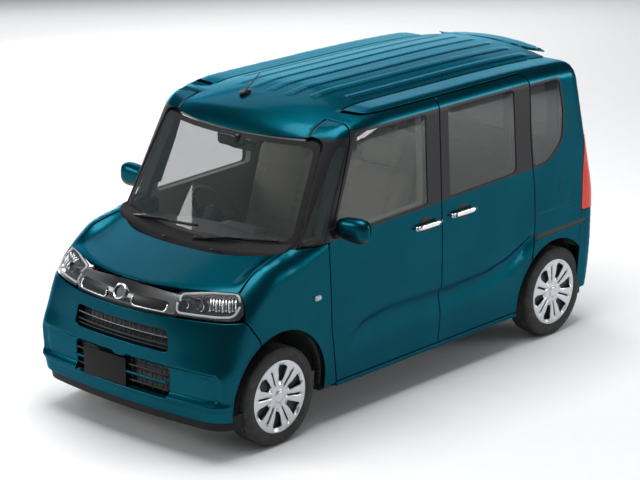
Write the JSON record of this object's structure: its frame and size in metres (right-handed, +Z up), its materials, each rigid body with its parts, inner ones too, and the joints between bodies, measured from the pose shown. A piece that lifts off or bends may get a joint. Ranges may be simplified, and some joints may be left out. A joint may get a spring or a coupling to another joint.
{
  "type": "kei car",
  "caption": "Tall kei-class wagon with hinged front doors, rear sliding doors, lifting tailgate and bonnet, steered front wheels and a hollow cabin.",
  "frame": {"origin": "on the ground under the middle of the car's length and width", "axes": "-Y is the car's front, +X its left side, +Z up"},
  "size_m": [1.909, 3.3955, 1.8111],
  "materials": {
    "paint": "metallic teal paint under clear coat",
    "underbody": "matt dark underbody paint",
    "black_trim": "fine grain",
    "grille_trim": "gunmetal gloss",
    "lamp_clear": "clear",
    "lamp_red": "gloss red",
    "glass": "light green tint",
    "privacy_glass": "dark privacy tint",
    "handle_silver": "satin silver",
    "dash_plastic": "soft grain",
    "seat_fabric": "woven light beige",
    "engine_metal": "cast",
    "chassis_steel": "satin black",
    "exhaust_steel": "dull",
    "wheel_silver": "silver metallic",
    "tyre": "matt"
  },
  "bodies": {
    "body": {"floor_pan": "underbody", "side_frame_left": "paint", "side_frame_right": "paint", "roof_panel": "paint", "front_fenders": "paint", "front_bumper": "paint", "front_grille": "grille_trim", "headlamps": "lamp_clear", "tail_lamps": "lamp_red", "windscreen": "glass", "cowl_panel": "black_trim", "wipers": "black_trim", "side_windows": "privacy_glass", "rear_bumper": "paint", "sliding_door_left": "paint", "sliding_door_right": "paint", "sliding_door_handles": "handle_silver", "dashboard": "dash_plastic", "front_seats": "seat_fabric", "rear_seat": "seat_fabric", "engine_block": "engine_metal", "front_subframe": "chassis_steel", "rear_axle": "chassis_steel", "exhaust": "exhaust_steel", "aerial": "black_trim"},
    "front_door_left": {"front_door_left": "paint", "front_glass_left": "glass", "mirror_left": "paint", "door_handle_left": "handle_silver"},
    "front_door_right": {"front_door_right": "paint", "front_glass_right": "glass", "mirror_right": "paint", "door_handle_right": "handle_silver"},
    "tailgate": {"tailgate": "paint", "tailgate_glass": "privacy_glass"},
    "bonnet": {"bonnet": "paint"},
    "fuel_lid": {"fuel_lid": "paint"},
    "knuckle_left": {"knuckle_left": "chassis_steel"},
    "knuckle_right": {"knuckle_right": "chassis_steel"},
    "steering_wheel": {"steering_wheel": "dash_plastic"},
    "wheel_front_left": {"wheel_front_left": "wheel_silver", "tyre_front_left": "tyre"},
    "wheel_front_right": {"wheel_front_right": "wheel_silver", "tyre_front_right": "tyre"},
    "wheel_rear_left": {"wheel_rear_left": "wheel_silver", "tyre_rear_left": "tyre"},
    "wheel_rear_right": {"wheel_rear_right": "wheel_silver", "tyre_rear_right": "tyre"}
  },
  "joints": [
    {"name": "front_door_left_swing", "type": "hinge", "parent": "body", "child": "front_door_left", "pos_m": [0.7355, -0.786, 0.9], "axis": [0, 0, -1], "range_deg": [0, 65]},
    {"name": "front_door_right_swing", "type": "hinge", "parent": "body", "child": "front_door_right", "pos_m": [-0.7355, -0.786, 0.9], "axis": [0, 0, 1], "range_deg": [0, 65]},
    {"name": "tailgate_lift", "type": "hinge", "parent": "body", "child": "tailgate", "pos_m": [0, 1.443, 1.733], "axis": [1, 0, 0], "range_deg": [0, 85]},
    {"name": "bonnet_lift", "type": "hinge", "parent": "body", "child": "bonnet", "pos_m": [0, -1.026, 1.06], "axis": [-1, 0, 0], "range_deg": [0, 50]},
    {"name": "fuel_lid_swing", "type": "hinge", "parent": "body", "child": "fuel_lid", "pos_m": [0.7355, 1.278, 0.92], "axis": [0, 0, -1], "range_deg": [0, 80]},
    {"name": "steer_left", "type": "hinge", "parent": "body", "child": "knuckle_left", "pos_m": [0.594, -1.187, 0.196], "axis": [-0.1476, 0, 0.9891], "range_deg": [-33, 33]},
    {"name": "steer_right", "type": "hinge", "parent": "body", "child": "knuckle_right", "pos_m": [-0.594, -1.187, 0.196], "axis": [0.1476, 0, 0.9891], "range_deg": [-33, 33]},
    {"name": "steering_wheel_turn", "type": "hinge", "parent": "body", "child": "steering_wheel", "pos_m": [-0.35, -0.56, 0.975], "axis": [0, 0.8829, 0.4695], "range_deg": [-495, 495]},
    {"name": "wheel_front_left_spin", "type": "hinge", "parent": "knuckle_left", "child": "wheel_front_left", "pos_m": [0.65, -1.187, 0.278], "axis": [1, 0, 0], "continuous": true},
    {"name": "wheel_front_right_spin", "type": "hinge", "parent": "knuckle_right", "child": "wheel_front_right", "pos_m": [-0.65, -1.187, 0.278], "axis": [1, 0, 0], "continuous": true},
    {"name": "wheel_rear_left_spin", "type": "hinge", "parent": "body", "child": "wheel_rear_left", "pos_m": [0.648, 1.273, 0.278], "axis": [1, 0, 0], "continuous": true},
    {"name": "wheel_rear_right_spin", "type": "hinge", "parent": "body", "child": "wheel_rear_right", "pos_m": [-0.648, 1.273, 0.278], "axis": [1, 0, 0], "continuous": true}
  ],
  "couplings": [
    {"joint": "steer_right", "follows": "steer_left", "ratio": 1},
    {"joint": "steering_wheel_turn", "follows": "steer_left", "ratio": 15}
  ]
}
